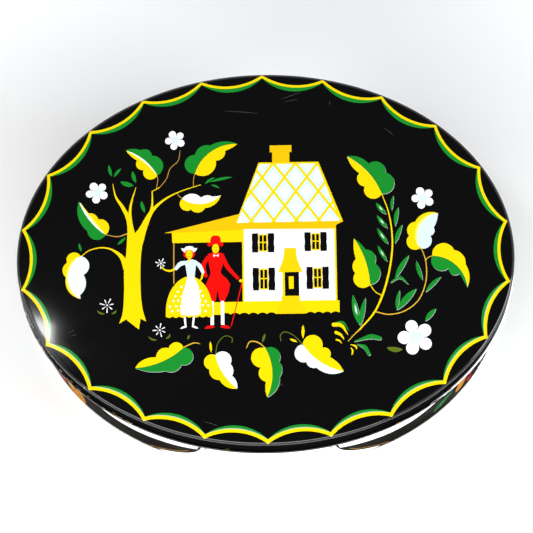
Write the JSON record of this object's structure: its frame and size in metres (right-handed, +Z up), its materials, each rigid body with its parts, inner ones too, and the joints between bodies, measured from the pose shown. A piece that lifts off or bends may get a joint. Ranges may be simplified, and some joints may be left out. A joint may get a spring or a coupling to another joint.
{
  "type": "oval slip-lid tin",
  "caption": "Oval tin with a domed slip lid, rolled sheet body and seamed-on base; the lid lifts straight off.",
  "frame": {"origin": "the middle of the oval that the tin stands on, in the plane of the base's double seam", "axes": "+Z up, the way the lid lifts; X along the oval's long axis; -Y the front, where the printed scene on the lid has its foot"},
  "size_m": [0.2527, 0.1946, 0.085],
  "materials": {
    "lid_lacquer": "glossy black lithographed lacquer with a printed scene in yellow, green, white and red",
    "body_lacquer": "glossy lithographed lacquer, white panel and black bands",
    "bare_tinplate": "bare tinplate, slightly dulled"
  },
  "bodies": {
    "body": {"body_wall": "body_lacquer", "base_plate": "bare_tinplate"},
    "lid": {"lid_shell": "lid_lacquer"}
  },
  "joints": [
    {"name": "lid_lift", "type": "slide", "parent": "body", "child": "lid", "axis": [0, 0, 1], "range_m": [0, 0.1]}
  ]
}
